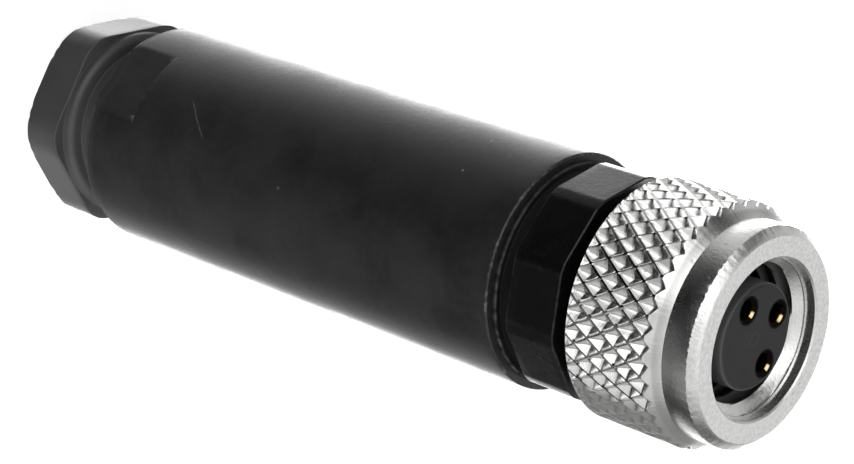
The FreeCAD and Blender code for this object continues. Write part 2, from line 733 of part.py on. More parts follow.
def knurl_shape():
    """The space inside a diamond knurl: four-sided pits between crossing ridges, open past the cone."""
    half_width = math.pi * KNURL_PIT_RADIUS.value / s.knurl_pits.value
    pitch = half_width / math.tan(math.radians(s.knurl_lead_angle.value))
    run_out = NUT_CONE_FRONT.value - (KNURL_PIT_RADIUS.value - NUT_FRONT_RADIUS.value)
    rows = math.ceil((run_out - NUT_REAR.value) / pitch) + 1
    start = run_out - rows * pitch
    grid = knurl_corners(rows, start, pitch)
    columns = len(grid[0])
    faces = []
    for row in range(rows):
        for column in range(columns):
            near, far = grid[row], grid[row + 1]
            after = (column + 1) % columns
            a, b, c, d = near[column], near[after], far[after], far[column]
            if (column + row) % 2:
                faces += [triangle(a, b, d), triangle(b, c, d)]
            else:
                faces += [triangle(a, b, c), triangle(a, c, d)]
    outer = KNURL_RIDGE_RADIUS.value + CLEAR
    top = [knurl_point(column, rows, outer, start, pitch) for column in range(columns)]
    for point in top:
        point.z = NUT_FRONT.value + CLEAR
    for column in range(columns):
        after = (column + 1) % columns
        a, b, c, d = grid[rows][column], grid[rows][after], top[after], top[column]
        faces += [triangle(a, b, c), triangle(a, c, d)]
    bottom = [Vector(point.x, point.y, start - CLEAR) for point in grid[0]]
    for column in range(columns):
        after = (column + 1) % columns
        a, b, c, d = bottom[column], bottom[after], grid[0][after], grid[0][column]
        faces += [triangle(a, b, c), triangle(a, c, d)]
    faces += [ring_cap(top), ring_cap(bottom)]
    return Part.Solid(Part.Shell(faces))


def make_coupling_nut(doc):
    """Knurled nut: the turned blank and the inside of the knurl have the nut in common."""
    knurl = doc.addObject("Part::Feature", "knurl")
    knurl.Shape = knurl_shape()
    nut = doc.addObject("Part::Common", "coupling_nut")
    nut.Label = "coupling_nut"
    nut.Base = make_nut_blank(doc)
    nut.Tool = knurl
    return nut


def make_sub_parts(doc):
    """Every piece of the connector, from the cable end to the mating end."""
    parts = [
        make_gland_nut(doc),
        make_slip_ring(doc),
        make_clamp_cage(doc),
        make_cable_seal(doc),
        make_sleeve(doc),
        make_terminal_block(doc),
    ]
    for index in range(CONTACTS):
        parts += [make_contact(doc, index), make_terminal_screw(doc, index), make_wire_guard(doc, index)]
    parts += [
        make_socket_insert(doc),
        make_contact_carrier(doc),
        make_seal_ring(doc, "carrier_seal", SEAL_GROOVE_RADIUS + s.carrier_seal_section,
                       s.carrier_seal_section, SLEEVE_FRONT - s.carrier_seal_setback),
        make_nut_ring(doc),
        make_seal_ring(doc, "front_seal", NOSE_RADIUS + s.front_seal_section, s.front_seal_section,
                       JOURNAL_FRONT + s.front_seal_section),
        make_coupling_nut(doc),
    ]
    return parts


def fill_sheet(doc):
    """Write the driving dimensions into the spreadsheet and name each cell."""
    sheet = doc.addObject("Spreadsheet::Sheet", "sizes")
    for row, (name, number) in enumerate(SIZES.items(), 1):
        sheet.set(f"A{row}", name)
        sheet.set(f"B{row}", str(number))
        sheet.setAlias(f"B{row}", name)
    doc.recompute()


def check(doc, parts):
    """Stop if any object failed or any sub-part has no sound shape."""
    for thing in doc.Objects:
        if "Invalid" in thing.State or "Error" in thing.State:
            raise RuntimeError(f"{thing.Name} failed: {thing.State}")
    for part in parts:
        if part.Shape.isNull() or not part.Shape.isValid() or not part.Shape.Solids:
            raise RuntimeError(f"{part.Label} has no sound shape")


def main():
    os.makedirs("parts", exist_ok=True)
    doc = FreeCAD.newDocument("inline_socket_connector")
    fill_sheet(doc)
    parts = make_sub_parts(doc)
    doc.recompute()
    check(doc, parts)
    for part in parts:
        part.Shape.exportStep(os.path.join("parts", part.Label + ".step"))
        print(f"{part.Label}: {len(part.Shape.Solids)} solid, {part.Shape.Volume:.2f} mm3")


main()
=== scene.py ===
"""The visible pieces, finishes and studio of the inline socket connector.

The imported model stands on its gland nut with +Z along the connector to its mating end. Shapes are
worked out in millimetres and handed to Blender in metres.
"""

import json
import math
from types import SimpleNamespace

import bpy
import numpy as np
from mathutils import Euler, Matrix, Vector


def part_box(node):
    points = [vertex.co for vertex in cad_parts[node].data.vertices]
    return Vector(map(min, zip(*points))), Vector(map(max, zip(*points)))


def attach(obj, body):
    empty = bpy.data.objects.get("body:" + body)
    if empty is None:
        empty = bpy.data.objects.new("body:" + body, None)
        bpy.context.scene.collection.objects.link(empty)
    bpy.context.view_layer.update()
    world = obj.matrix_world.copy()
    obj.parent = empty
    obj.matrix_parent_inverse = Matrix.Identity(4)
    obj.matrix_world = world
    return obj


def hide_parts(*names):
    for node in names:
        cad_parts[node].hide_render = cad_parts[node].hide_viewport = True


bl_info = {
    "name": "Inline socket connector",
    "version": (1, 0, 0),
    "blender": (4, 5, 0),
    "location": "3D View > Sidebar > Connector",
    "description": "Builds the pieces, finishes and studio of a small round cable connector",
    "category": "Object",
}

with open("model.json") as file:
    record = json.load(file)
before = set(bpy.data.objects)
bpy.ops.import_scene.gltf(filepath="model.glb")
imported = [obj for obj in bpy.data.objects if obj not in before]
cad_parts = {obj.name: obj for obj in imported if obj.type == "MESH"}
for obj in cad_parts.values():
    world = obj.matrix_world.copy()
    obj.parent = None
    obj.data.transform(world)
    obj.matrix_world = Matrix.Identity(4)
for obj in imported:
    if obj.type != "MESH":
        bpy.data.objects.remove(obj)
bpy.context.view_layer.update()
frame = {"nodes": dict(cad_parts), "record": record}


def in_millimetres(node):
    """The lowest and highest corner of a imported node."""
    low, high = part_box(node)
    return low * 1000, high * 1000


NUT_LOW, NUT_HIGH = in_millimetres("coupling_nut")
SLEEVE_LOW, SLEEVE_HIGH = in_millimetres("sleeve")
CARRIER_LOW, CARRIER_HIGH = in_millimetres("contact_carrier")
GLAND_HIGH = in_millimetres("gland_nut")[1]
INSERT_HIGH = in_millimetres("socket_insert")[1]
CONTACT_HIGH = in_millimetres("contact_1")[1]
SLOT_COLOURS = {entry["slot"]: entry["base_color"] for entry in frame["record"]["materials"]}


# -------- settings


def length(title, millimetres, description):
    """A length given in millimetres and kept in metres."""
    return bpy.props.FloatProperty(
        name=title, description=description, default=millimetres / 1000, min=0, unit="LENGTH",
        precision=5)


def angle(title, degrees, description):
    """An angle given in degrees and kept in radians."""
    return bpy.props.FloatProperty(
        name=title, description=description, default=math.radians(degrees), unit="ROTATION")


def amount(title, default, description):
    """A number that isn't negative."""
    return bpy.props.FloatProperty(name=title, description=description, default=default, min=0)


def colour(title, slot, description):
    """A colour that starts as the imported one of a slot."""
    return bpy.props.FloatVectorProperty(
        name=title, description=description, default=SLOT_COLOURS[slot], size=3, min=0, max=1,
        subtype="COLOR")


class NutSizes(bpy.types.PropertyGroup):
    """Sizes of the knurled coupling nut."""

    ridge_radius: length("Knurl ridges", 6.16, "Radius over the ridges of the knurl")
    pit_radius: length("Knurl pits", 5.75, "Radius at the bottom of the knurl's pits")
    pits: bpy.props.IntProperty(
        name="Pits", description="Knurl pits round the nut", default=39, min=12)
    lead_angle: angle("Lead angle", 30, "Angle of the knurl's ridges to the axis")
    phase: angle("Knurl phase", 6.0, "Angle of a crossing of ridges from the X axis")
    wide_ridge: length("Wide ridge", 0.1, "Width of the flat top of one set of ridges")
    thin_ridge: length("Thin ridge", 0.05, "Width of the flat top of the other set")
    rim_radius: length("Rear rim", 5.92, "Radius of the rear face")
    nose_radius: length("Front band", 5.5, "Radius of the front band")
    nose_length: length("Front band length", 1.8, "Length of the band with its bevel")
    nose_bevel: length("Front bevel", 0.4, "Bevel at the front face")
    mouth_radius: length("Mouth", 4.02, "Radius of the counterbore")
    mouth_depth: length("Mouth depth", 0.6, "Depth of the counterbore")
    mouth_bevel: length("Mouth bevel", 0.08, "Bevel at the edge of the counterbore")
    lead_length: length("Lead cone", 0.5, "Length of the cone before the thread")
    thread_crest: length("Thread crest", 3.46, "Radius of the thread's crest")
    thread_root: length("Thread root", 4.0, "Radius of the thread's root")
    thread_pitch: length("Thread pitch", 1.0, "Distance between turns")
    thread_opening: length("Thread opening", 0.75, "Width of the groove at its crest")
    thread_start: length(
        "Thread start", 0.2067, "Height of the groove over the front face, at the X axis")
    bore_radius: length("Rear bore", 4.35, "Radius of the bore on the journal")
    web_length: length("Web", 1.3, "Length of the rear bore")
    ring_width: length("Ring groove", 0.66, "Width of the ring groove")
    ring_radius: length("Ring groove radius", 4.75, "Radius of the ring groove")
    relief_radius: length("Relief", 4.45, "Radius of the relief")
    relief_length: length("Relief length", 1.55, "Length of the relief")


class HousingSizes(bpy.types.PropertyGroup):
    """Sizes of the sleeve, the gland nut and the contact carrier."""

    sleeve_rear_radius: length("Sleeve rear", 6.213, "Radius at the gland end")
    sleeve_front_radius: length("Sleeve front", 6.15, "Radius at the mouth")
    shoulder_rounding: length("Shoulder", 0.6, "Rounding of the sleeve's rear edge")
    rim_rounding: length("Rim", 0.12, "Rounding of the sleeve's front edge")
    flat_apothem: length("Spanner flats", 5.8, "Distance of a flat from the axis")
    flat_length: length("Flat length", 3.75, "Length of the spanner flats")
    flat_direction: angle("Flat direction", 61.8, "Direction that one spanner flat faces")
    thread_radius: length("Gland thread", 4.65, "Radius of the gland nut's thread")
    seat_radius: length("Seal seat", 3.9, "Radius of the cable seal's seat")
    seat_front: length("Seat front", 19.9, "Height of the seat's front end")
    web_hole_radius: length("Web hole", 2.9, "Radius of the hole before the seal")
    cavity_radius: length("Cavity", 4.95, "Radius of the sleeve's cavity")
    mouth_radius: length("Sleeve mouth", 5.3, "Radius of the sleeve's mouth")
    mouth_depth: length("Sleeve mouth depth", 1.9, "Depth of the sleeve's mouth")
    hex_apothem: length("Gland hexagon", 5.5, "Distance of a gland flat from the axis")
    hex_radius: length("Gland corners", 6.03, "Radius over the gland's corners")
    hex_height: length("Gland height", 2.75, "Height of the gland's hexagon")
    hex_direction: angle("Gland direction", 47.3, "Direction of one corner of the hexagon")
    collar_radius: length("Gland collar", 5.4, "Radius of the round collar")
    collar_height: length("Collar height", 0.65, "Height of the collar")
    neck_radius: length("Gland neck", 4.6, "Radius of the threaded neck")
    cup_radius: length("Gland cup", 3.6, "Radius of the clamp's cup")
    cup_floor: length("Gland floor", 2.1, "Height of the cup's floor")
    inlet_radius: length("Cable inlet", 2.75, "Radius of the cable inlet")
    inlet_flare: length("Inlet flare", 0.5, "Bevel at the edge of the cable inlet")
    grip_apothem: length("Grip flats", 5.7, "Distance of a grip flat from the axis")
    grip_radius: length("Grip corners", 5.9, "Radius over the grip's corners")
    grip_length: length("Grip length", 3.0, "Length of the grip collar")
    grip_flats: bpy.props.IntProperty(
        name="Grip sides", description="Flats round the grip", default=10, min=3)
    grip_direction: angle("Grip direction", 9.8, "Direction of one corner of the grip")
    grip_bevel: length("Grip bevel", 0.06, "Bevel at the grip's front edge")
    groove_radius: length("Carrier groove", 5.4, "Radius of the groove behind the grip")
    groove_width: length("Groove width", 0.78, "Width of the groove behind the grip")
    flange_radius: length("Carrier flange", 5.75, "Radius of the flange on the rim")
    flange_thickness: length("Flange", 0.25, "Thickness of that flange")
    journal_radius: length("Journal", 4.3, "Radius of the journal")


class FinishColours(bpy.types.PropertyGroup):
    """Colours that the finishes start from."""

    nickel: colour("Nickel", "nickel", "Plating of the coupling nut")
    gold: colour("Contacts", "contact_gold", "Plating of the contacts")
    steel: colour("Steel", "steel", "Screws, wire guards and the retaining ring")
    sleeve: colour("Sleeve", "sleeve_black", "Moulded sleeve")
    gland: colour("Gland", "gland_black", "Moulded gland nut")
    grip: colour("Carrier", "grip_black", "Contact carrier with its grip collar")
    insert: colour("Insert", "insert_black", "Contact insert and terminal block")
    cage: colour("Cage", "cage_grey", "Clamp cage")
    slip: colour("Slip ring", "slip_white", "Slip ring under the clamp cage")
    seal: colour("Seals", "seal_black", "Rubber seals")


class StudioSettings(bpy.types.PropertyGroup):
    """The camera, the lamp, the room and the floor."""

    camera_place: bpy.props.FloatVectorProperty(
        name="Camera", description="Where the camera stands", size=3, subtype="TRANSLATION",
        unit="LENGTH", default=(-0.01351382, -0.09987187, 0.1118473))
    camera_turn: bpy.props.FloatVectorProperty(
        name="Camera turn", description="How the camera is turned", size=3, subtype="EULER",
        default=(-0.3727977, -0.8044715, 1.9292149))
    lens: amount("Lens", 106.07, "Focal length in millimetres on a 36 mm wide picture")
    key_level: amount("Key level", 5.0, "Brightness of the soft box beside the object")
    fill_level: amount("Fill", 0.44, "Brightness of the room on matt surfaces")
    floor_size: bpy.props.FloatProperty(
        name="Floor", description="Side of the square floor", default=3.0, min=0.1, unit="LENGTH")


# -------- shapes


TINY = 1e-6             # slack for comparing heights
FAR = 99                # a radius beyond everything
NEARLY_STRAIGHT = 1.55  # half an angle from which on a corner stays as it is
ARC_POINTS = 6          # points on the arc of a rounded corner
WAVES = 12              # sine waves in a wobble
KNURL_CELLS = 8         # cells of the knurl's grid to half a diamond
RIM_ROWS = (0, 0.05, 0.1, 0.15, 0.19)   # rings between the rear face and the knurl
THREAD_ROW = 0.075      # distance between the rings of the thread
STRIP = (-48, -4)       # first and last angle of the strip whose pits are partly filled, in degrees
CONTACT_STEP = 1.74 / math.sqrt(2)      # distance of each contact from the planes X = 0 and Y = 0


def settings_of(group):
    """A group's lengths in millimetres, and its other values as they are."""
    values = {}
    for key, prop in group.bl_rna.properties.items():
        if key in ("rna_type", "name"):
            continue
        value = getattr(group, key)
        values[key] = value * 1000 if getattr(prop, "unit", "") == "LENGTH" else value
    return SimpleNamespace(**values)


def soft_min(first, second, softness):
    """The smaller of two lengths, with a parabola where they differ by less than softness."""
    overlap = np.maximum(softness - np.abs(first - second), 0) / softness
    return np.minimum(first, second) - overlap ** 2 * softness / 4


def smooth_step(value, start, end):
    """0 before start and 1 after end, with a cubic that is level at both."""
    share = np.clip((value - start) / (end - start), 0, 1)
    return share * share * (3 - 2 * share)


def wobble(angles, heights, seed, turns, pitch):
    """Unevenness between about -1 and 1: a sum of sine waves with whole numbers of turns.

    Each wave has a random number of turns round the axis up to turns, a random wave length along
    the axis from pitch up, and a random phase.
    """
    random = np.random.default_rng(seed)
    total = np.zeros(np.broadcast(angles, heights).shape)
    for _ in range(WAVES):
        count = random.integers(1, turns + 1)
        along_axis = random.uniform(-1, 1) * math.tau / pitch
        total += np.sin(angles * count + heights * along_axis + random.uniform(0, math.tau))
    return total / 5


def around(count):
    """The angles of that many even steps round the axis."""
    return np.arange(count)[None] * math.tau / count


def unit(vectors):
    """Vectors brought to a length of one."""
    return vectors / np.maximum(np.linalg.norm(vectors, axis=-1, keepdims=True), 1e-12)


def rounded_outline(corners, spacing):
    """A closed outline through (radius, height, rounding) corners.

    A rounded corner becomes an arc that touches both its sides: its centre lies on the bisector,
    the rounding divided by the sine of half the corner's angle away. Straight runs are divided
    evenly into steps no longer than spacing.
    """
    corner = np.array(corners, float)
    spots = corner[:, :2]
    ahead = unit(np.roll(spots, -1, 0) - spots)
    behind = unit(np.roll(spots, 1, 0) - spots)
    arcs = []
    for spot, forward, back, rounding in zip(spots, ahead, behind, corner[:, 2]):
        half = math.acos(np.clip(forward @ back, -1, 1)) / 2
        if rounding <= 0 or half > NEARLY_STRAIGHT:
            arcs.append(spot[None])
            continue
        centre = spot + unit(forward + back) * rounding / math.sin(half)
        start = spot + back * rounding / math.tan(half)
        end = spot + forward * rounding / math.tan(half)
        share = np.linspace(0, 1, ARC_POINTS)[:, None]
        chord = unit((start - centre) * (1 - share) + (end - centre) * share)
        arcs.append(centre + chord * rounding)
    pieces = []
    for arc, after in zip(arcs, arcs[1:] + arcs[:1]):
        run = after[0] - arc[-1]
        count = max(1, math.ceil(np.linalg.norm(run) / spacing))
        pieces += [arc, arc[-1] + run * np.arange(1, count)[:, None] / count]
    return np.concatenate(pieces)


def polygon_outline(angles, apothem, corner_radius, sides, direction, softness):
    """Radius of a regular polygon whose corners are turned off to corner_radius.

    A flat lies at the apothem divided by the cosine of the angle to the flat's middle, and
    direction is that of one corner.
    """
    step = math.tau / sides
    from_middle = (angles - direction) % step - step / 2
    return soft_min(apothem / np.cos(from_middle), corner_radius, softness)


def follow_polygon(radius, outline, top, base, edge):
    """Turned radii between base and top, moved onto a polygon's outline.

    The first part of the way down from the top, as deep as edge, keeps its depth below the outline,
    so that bevels follow the flats. The rest is squeezed evenly down to the base.
    """
    depth = top - radius
    lower = outline - edge - (depth - edge) / (top - base - edge) * (outline - edge - base)
    moved = np.where(depth <= edge, outline - depth, lower)
    return np.where((radius > base) & (radius <= top + TINY), moved, radius)


def round_axis(radius, height, angles):
    """Points at radii and heights for each angle about the Z axis."""
    radius, height, angles = np.broadcast_arrays(radius, height, angles)
    return np.stack([radius * np.cos(angles), radius * np.sin(angles), height], axis=-1)


def convex_edges(points):
    """How sharply a grid bends outwards at each point, from 0 on flats and hollows to 1 on an edge.

    The normals are crossed from the differences to the neighbours both ways. Their change along
    each way, set against the length of the step, is the curvature; a radius of 0.1 mm counts as 1.
    """
    across = np.roll(points, -1, 1) - np.roll(points, 1, 1)
    along = np.roll(points, -1, 0) - np.roll(points, 1, 0)
    normal = unit(np.cross(across, along))
    bend = np.zeros(points.shape[:2])
    for axis, step in ((1, across), (0, along)):
        turned = np.roll(normal, -1, axis) - np.roll(normal, 1, axis)
        squared = np.maximum((step * step).sum(-1), 1e-6)
        bend = np.maximum(bend, (turned * step).sum(-1) / squared)
    return np.clip(bend * 0.1, 0, 1)


def grid_triangles(rings, steps, second_diagonal):
    """Two triangles for each cell of a grid that closes on itself both ways."""
    ring, step = np.meshgrid(np.arange(rings), np.arange(steps), indexing="ij")
    after, above = (step + 1) % steps, (ring + 1) % rings
    a, b = ring * steps + step, ring * steps + after
    c, d = above * steps + after, above * steps + step
    cut = np.broadcast_to(np.asarray(second_diagonal)[..., None], (rings, steps, 3))
    first = np.where(cut, np.stack([a, b, d], -1), np.stack([a, b, c], -1))
    second = np.where(cut, np.stack([b, c, d], -1), np.stack([a, c, d], -1))
    return np.concatenate([first.reshape(-1, 3), second.reshape(-1, 3)])


def new_object(name, data):
    """A new object in the scene."""
    made = bpy.data.objects.new(name, data)
    bpy.context.scene.collection.objects.link(made)
    return made


def add_piece(name, points, finish, body, stands_for, second_diagonal=False, sharp=30):
    """A closed piece from a grid of points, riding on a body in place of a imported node."""
    rings, steps = points.shape[:2]
    triangles = grid_triangles(rings, steps, second_diagonal)
    mesh = bpy.data.meshes.new(name)
    mesh.vertices.add(rings * steps)
    mesh.vertices.foreach_set("co", (points * 0.001).ravel())
    mesh.loops.add(triangles.size)
    mesh.loops.foreach_set("vertex_index", triangles.ravel())
    mesh.polygons.add(len(triangles))
    mesh.polygons.foreach_set("loop_start", np.arange(0, triangles.size, 3))
    mesh.update(calc_edges=True)
    mesh.validate()
    wear = mesh.attributes.new("edge", "FLOAT", "POINT")
    wear.data.foreach_set("value", convex_edges(points).ravel())
    mesh.shade_smooth()
    mesh.set_sharp_from_angle(angle=math.radians(sharp))
    mesh.materials.append(finish)
    piece = new_object(name, mesh)
    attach(piece, body)
    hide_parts(stands_for)


def knurl_height(across, along, wide, thin):
    """Height of a diamond knurl, 1 on its ridges and 0 at the bottom of its pits.

    across and along count half diamonds. The ridges lie where their sum or their difference is
    even. The depth is the distance to the nearer ridge, less half the width of the ridge's flat
    top, and a parabola rounds the hollow between two walls.
    """
    total, difference = across + along, across - along
    to_thin = np.abs(total - 2 * np.round(total / 2))
    to_wide = np.abs(difference - 2 * np.round(difference / 2))
    depth = soft_min((to_thin - thin) / (1 - thin), (to_wide - wide) / (1 - wide), 0.12)
    return 1 - np.clip(depth, 0, 1), to_thin < to_wide


def filled_strip(angles, over_rear):
    """1 inside the strip of filled pits and 0 outside it; its first side leans a little."""
    first, last = STRIP
    turn = (np.degrees(angles) + 180) % 360 - 180
    return smooth_step(turn - first - 1.4 * over_rear, 0, 4) * smooth_step(last - turn, 0, 12)


def knurled_skin(n, angles):
    """The outside from the rear face to the front of the cone: heights, radii and cell diagonals.

    The knurl is cut out of a turned blank, so the smaller radius of the two holds. The pits grow
    shallow towards the rear face and the cone, and a strip of them along one side is partly filled.
    """
    rear, cone_front = NUT_LOW.z, NUT_HIGH.z - n.nose_length
    half_diamond = math.pi * n.pit_radius / n.pits / math.tan(n.lead_angle)
    ridge_gap = half_diamond * math.sin(n.lead_angle)
    last_crossing, rim_slope = 0.1, 2.4
    pits_end = cone_front - (n.pit_radius - n.nose_radius)
    start = cone_front - (n.ridge_radius - n.nose_radius) - last_crossing - half_diamond * 7
    plain = np.arange(start, cone_front, half_diamond / KNURL_CELLS)
    fine = np.arange(start + half_diamond * 6, cone_front, half_diamond / KNURL_CELLS / 3)
    rows = np.union1d(np.round(plain, 4), np.round(fine, 4))
    rows = rows[(rows > rear + RIM_ROWS[-1] + 0.01) & (rows < cone_front - 0.01)]
    rows = np.concatenate([rear + np.array(RIM_ROWS), rows, [cone_front]])[:, None]
    across = (angles - n.phase) * n.pits / math.pi + 0.008 * wobble(angles, rows, 3, 60, 1.1)
    along = (rows - start) / half_diamond + 0.008 * wobble(angles, rows, 4, 60, 1.1)
    wide, thin = n.wide_ridge / 2 / ridge_gap, n.thin_ridge / 2 / ridge_gap
    height, second_diagonal = knurl_height(across, along, wide, thin)
    height = height * (0.985 + 0.015 * wobble(angles, rows, 5, 40, 0.9))
    filled = 0.4 * filled_strip(angles, rows - rear)
    height = height * (1 - filled) + filled * (0.6 + 0.05 * wobble(angles, rows, 6, 150, 0.35))
    height = np.maximum(height, smooth_step(rear + 0.35 - rows, 0, 0.3))
    height = height + (1 - height) * smooth_step(rows - pits_end, -0.25, 0.3)
    knurl = n.pit_radius + height * (n.ridge_radius - n.pit_radius)
    burr = 0.003 * wobble(angles, rows * 0, 7, 160, 1)
    cone = n.nose_radius + cone_front - rows + burr
    blank = np.minimum(n.rim_radius + rim_slope * (rows - rear), cone)
    outer = soft_min(knurl, blank, 0.04)
    outer[0] = n.rim_radius
    outer[-1] = n.nose_radius
    return rows, outer, second_diagonal


def thread_radius(n, heights, angles):
    """Radius of the right-handed thread: a groove with sloping sides climbs one pitch a turn."""
    place = heights - NUT_HIGH.z - n.thread_start - angles / math.tau * n.thread_pitch
    from_groove = np.abs(place - n.thread_pitch * np.round(place / n.thread_pitch))
    floor_width = 0.12
    slope_width = (n.thread_opening - floor_width) / 2
    depth = np.clip((n.thread_opening / 2 - from_groove) / slope_width, 0, 1)
    return n.thread_crest + depth * (n.thread_root - n.thread_crest)


def threaded_bore(n, angles, front, rear):
    """The lead cone and the thread between two heights, from the front back: heights and radii."""
    rows = np.arange(front, rear, -THREAD_ROW)[1:]
    lead = np.interp(rows, [front - n.lead_length, front], [n.thread_crest, n.mouth_radius])
    rows = rows[:, None]
    return rows, np.maximum(lead[:, None], thread_radius(n, rows, angles))


def nut_points(n):
    """The coupling nut as a closed grid of rings: the outside forwards and the inside back."""
    rear, front = NUT_LOW.z, NUT_HIGH.z
    ring_rear = rear + n.web_length
    ring_front = ring_rear + n.ring_width
    relief_front = ring_front + n.relief_length
    band_rear, bevel_rear = front - n.nose_length, front - n.nose_bevel
    bevel_top, mouth_floor = n.nose_radius - n.nose_bevel, front - n.mouth_depth
    shoulder, face_middle = n.mouth_radius - 0.1, 4.7
    angles = n.phase + around(2 * n.pits * KNURL_CELLS)
    rows, skin, second_diagonal = knurled_skin(n, angles)
    thread_rows, thread = threaded_bore(n, angles, mouth_floor, relief_front)
    band = np.array([
        (n.nose_radius, band_rear + 0.05), (n.nose_radius, band_rear + 0.5),
        (n.nose_radius, bevel_rear - 0.04), (n.nose_radius - 0.02, bevel_rear + 0.02),
        (bevel_top + 0.03, front - 0.03), (bevel_top - 0.03, front), (face_middle, front),
        (n.mouth_radius + n.mouth_bevel, front), (n.mouth_radius, front - n.mouth_bevel),
        (n.mouth_radius, mouth_floor + 0.02), (n.mouth_radius - 0.02, mouth_floor),
        (shoulder, mouth_floor), (shoulder - 0.01, mouth_floor - 0.05),
    ])
    tail = np.array([
        (n.thread_crest, relief_front), (n.relief_radius, relief_front),
        (n.relief_radius, ring_front), (n.ring_radius, ring_front), (n.ring_radius, ring_rear),
        (n.bore_radius, ring_rear), (n.bore_radius, rear + 0.1), (n.bore_radius + 0.1, rear),
    ])
    rings = [skin, band[:, :1], thread, tail[:, :1]]
    radii = np.concatenate([np.broadcast_to(part, (len(part), angles.size)) for part in rings])
    heights = np.concatenate([rows, band[:, 1:], thread_rows, tail[:, 1:]])
    bevel_edge = len(rows) + 3      # the bevel's rear edge has small nicks
    nicks = 0.006 * wobble(angles, 0, 8, 200, 1) + 0.006 * wobble(angles, 0, 9, 90, 1)
    radii[bevel_edge] += nicks[0]
    diagonal = np.zeros(radii.shape, bool)
    diagonal[:len(rows)] = second_diagonal
    return round_axis(radii, heights, angles), diagonal


def sleeve_points(h):
    """The sleeve: a turned outline with two flats planed across its rear end.

    The flats are the smaller of the turned radius and the flat's apothem over the cosine of the
    angle to its middle, and they fade out over a short step at their front end.
    """
    rear, front = SLEEVE_LOW.z, SLEEVE_HIGH.z
    flat_end, mouth_floor = rear + h.flat_length, front - h.mouth_depth
    web_front = h.seat_front + 1.3
    draft = (h.sleeve_front_radius - h.sleeve_rear_radius) / (front - rear)
    at_flat = h.sleeve_rear_radius + draft * h.flat_length
    outline = rounded_outline([
        (h.thread_radius, rear, 0.1), (h.sleeve_rear_radius, rear, h.shoulder_rounding),
        *((at_flat, flat_end + ahead, 0) for ahead in (-0.07, -0.045, -0.02, 0, 0.03)),
        (h.sleeve_front_radius, front, h.rim_rounding), (h.mouth_radius, front, 0.05),
        (h.mouth_radius, mouth_floor, 0), (h.cavity_radius, mouth_floor, 0),
        (h.cavity_radius, web_front, 0), (h.web_hole_radius, web_front, 0),
        (h.web_hole_radius, h.seat_front, 0), (h.seat_radius, h.seat_front, 0),
        (h.seat_radius, GLAND_HIGH.z + 2, 0), (h.thread_radius, GLAND_HIGH.z + 1.5, 0),
    ], 0.5)
    radius, height = outline[:, :1], outline[:, 1:]
    angles = around(540)
    middle = h.flat_direction
    flats = polygon_outline(angles, h.flat_apothem, FAR, 2, middle + math.pi / 2, 0.05)
    flats = np.where(np.abs(np.cos(angles - middle)) > 0.5, flats, FAR)
    reach = smooth_step(flat_end - height, 0, 0.06) * (radius > h.flat_apothem - 0.45)
    outer = radius + reach * (soft_min(radius, flats, 0.05) - radius)
    rim = smooth_step(height, front - 0.12, front - 0.02) * (radius > h.mouth_radius)
    return round_axis(outer - 0.012 * wobble(angles, height, 11, 90, 0.6) * rim, height, angles)


def gland_points(h):
    """The gland nut: a hexagon with softened corners, a round collar, the neck and the cup inside.

    Under its waist the hexagon cuts the bevelled foot; over it the front edge follows the flats.
    """
    hex_top = h.hex_height
    collar_top = hex_top + h.collar_height
    waist, foot_width, foot_height = 1, 0.4, 0.25
    outline = rounded_outline([
        (h.inlet_radius + h.inlet_flare, 0, 0.05), (h.hex_radius - foot_width, 0, 0.05),
        (h.hex_radius, foot_height, 0.05), (h.hex_radius, hex_top, 0.07),
        (h.collar_radius, hex_top, 0.03), (h.collar_radius, collar_top, 0.45),
        (h.neck_radius, collar_top, 0.05), (h.neck_radius, GLAND_HIGH.z, 0.2),
        (h.cup_radius, GLAND_HIGH.z, 0.1), (h.cup_radius, h.cup_floor, 0),
        (h.inlet_radius, h.cup_floor, 0.05), (h.inlet_radius, h.inlet_flare, 0.05),
    ], 0.35)
    radius, height = outline[:, :1], outline[:, 1:]
    angles = around(480)
    hexagon = polygon_outline(angles, h.hex_apothem, h.hex_radius, 6, h.hex_direction, 0.25)
    upper = follow_polygon(radius, hexagon, h.hex_radius, h.collar_radius, 0.07)
    lower = soft_min(radius, hexagon, 0.05)
    on_hexagon = (height < hex_top + TINY) & (radius > h.collar_radius)
    radius = np.where(on_hexagon, np.where(height > waist, upper, lower), radius + 0 * angles)
    return round_axis(radius, height, angles)


